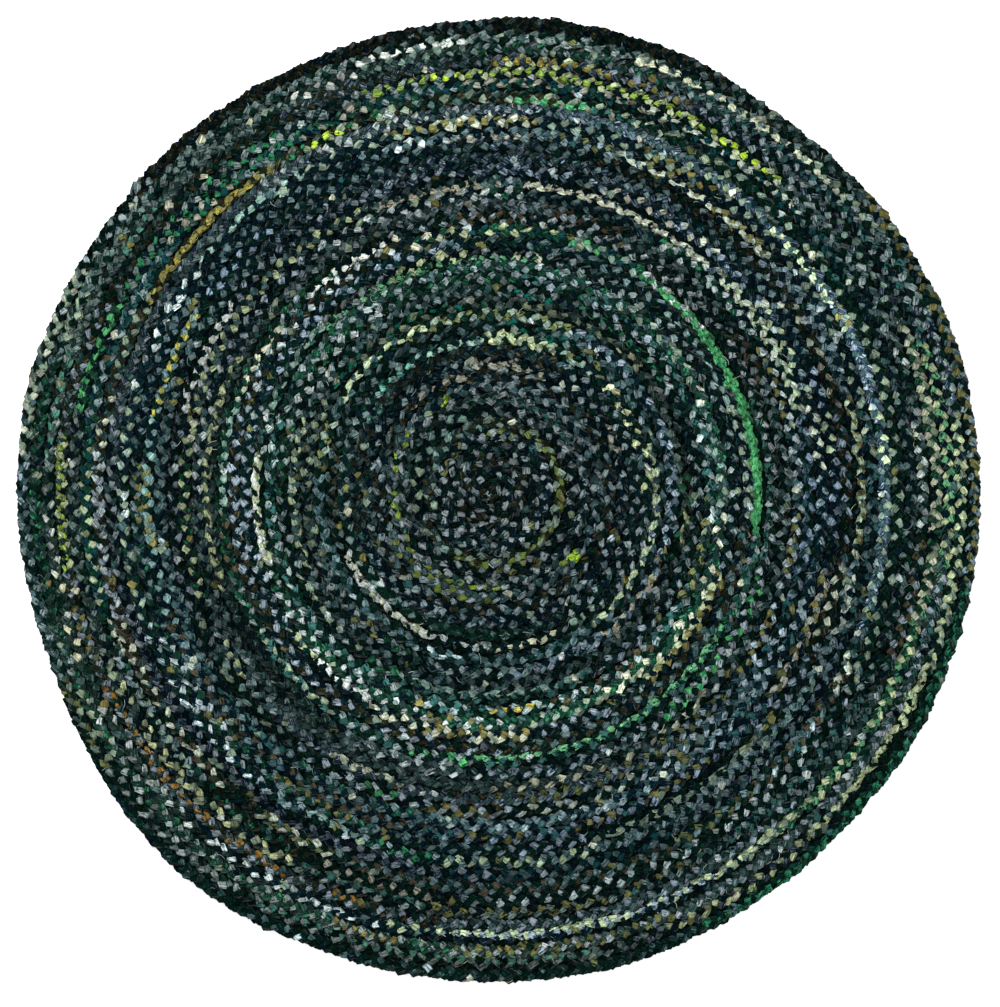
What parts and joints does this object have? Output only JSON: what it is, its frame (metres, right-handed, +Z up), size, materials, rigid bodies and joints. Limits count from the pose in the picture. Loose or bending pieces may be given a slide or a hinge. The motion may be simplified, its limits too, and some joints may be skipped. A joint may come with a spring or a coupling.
{
  "type": "braided rug",
  "caption": "Round flat rug: a braid of rag strips coiled from the middle outward, its turns standing up as low ridges on the top face.",
  "frame": {"origin": "middle of the outline's box, on the floor face", "axes": "+Z up through the thickness, +X to the right and +Y away as the rug lies in the picture"},
  "size_m": [1.4972, 1.4972, 0.011],
  "materials": {
    "rag_braid": "matt worn cotton and denim rags, mostly dark navy and bottle green"
  },
  "bodies": {
    "root": {"braided_rug": "rag_braid"}
  },
  "joints": []
}
